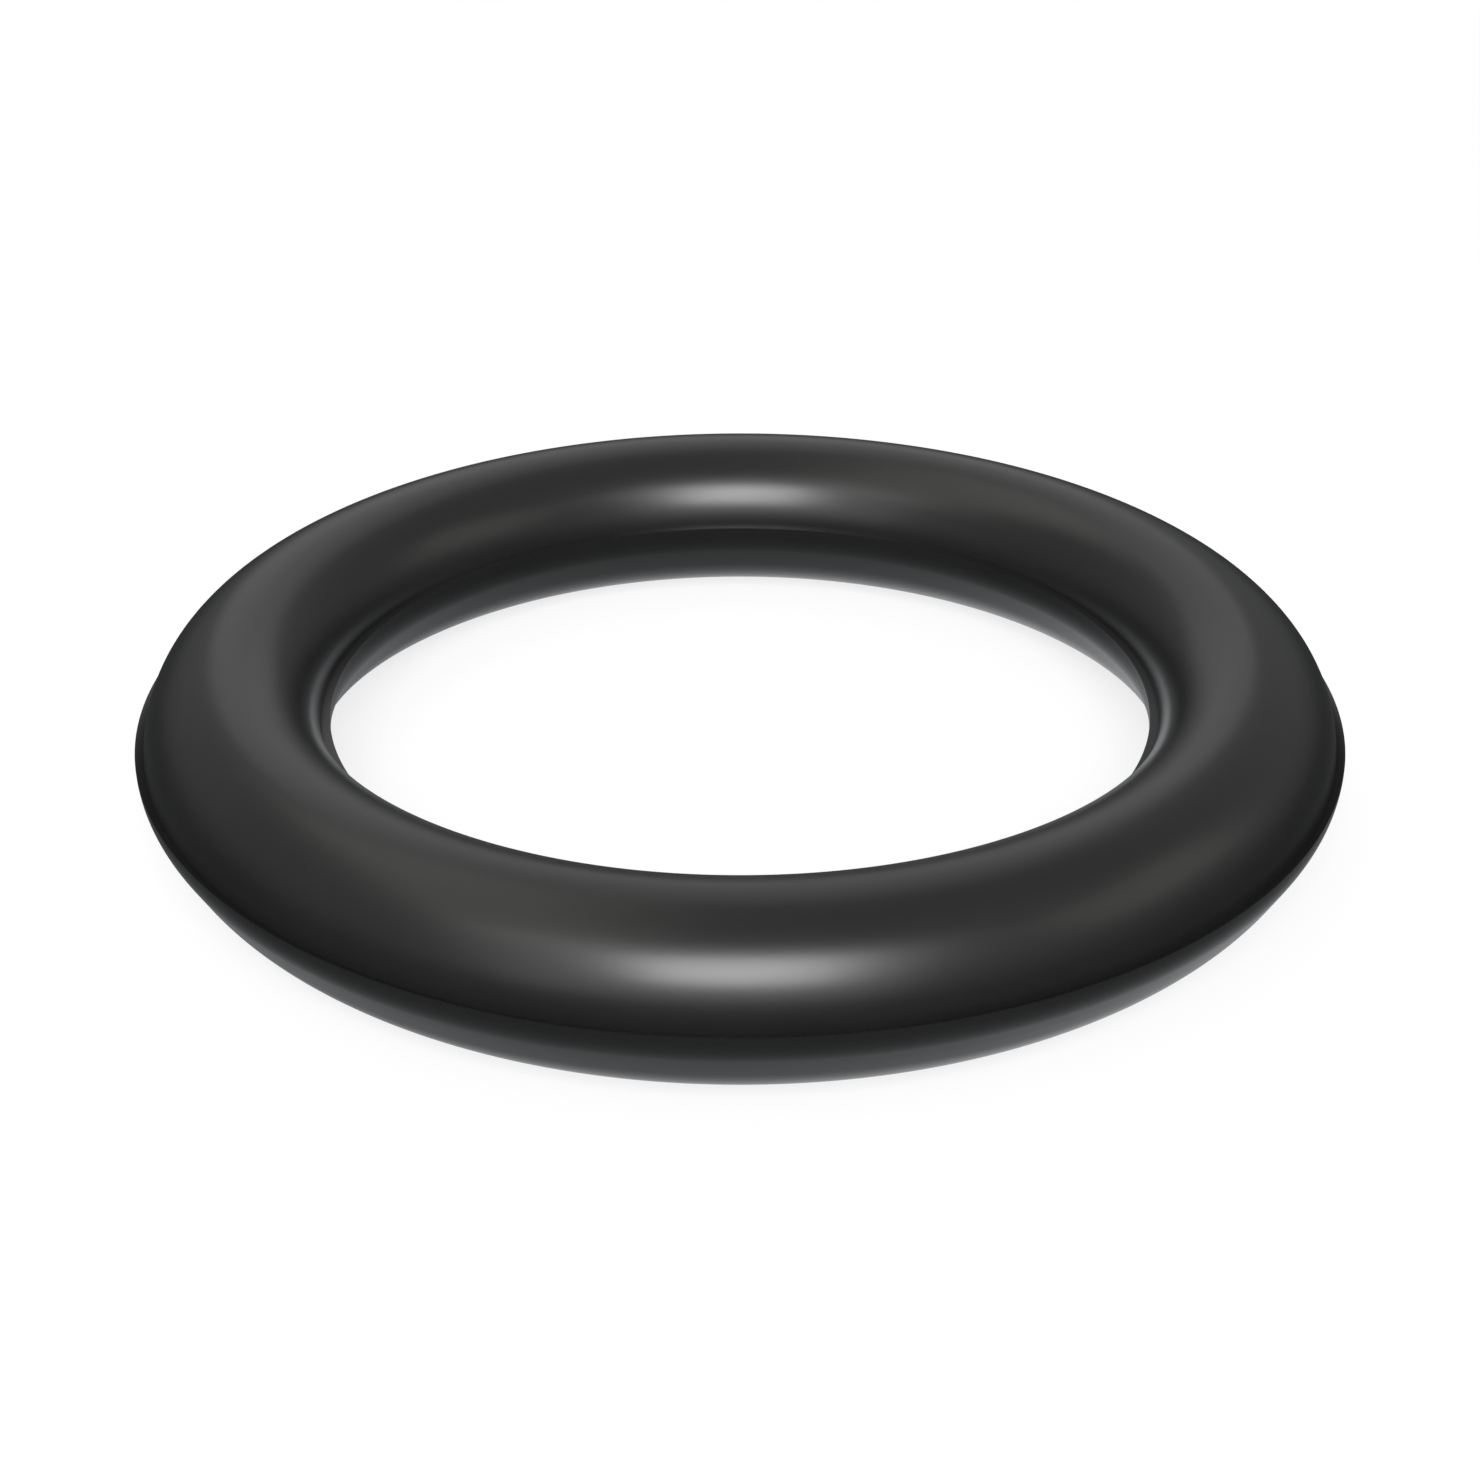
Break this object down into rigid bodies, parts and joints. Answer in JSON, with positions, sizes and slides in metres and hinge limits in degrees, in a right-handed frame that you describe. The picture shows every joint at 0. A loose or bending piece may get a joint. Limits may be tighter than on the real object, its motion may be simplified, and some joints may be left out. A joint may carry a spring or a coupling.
{
  "type": "rubber o-ring",
  "caption": "Round-section rubber sealing ring with a low moulding band on its outside and inside.",
  "frame": {"origin": "centre of the ring, on the plane of the parting line", "axes": "+Z along the ring's axis; X and Y lie in the plane of the ring"},
  "size_m": [0.0368, 0.0368, 0.0052],
  "materials": {
    "rubber": "satin moulded black rubber"
  },
  "bodies": {
    "root": {"o_ring": "rubber"}
  },
  "joints": []
}
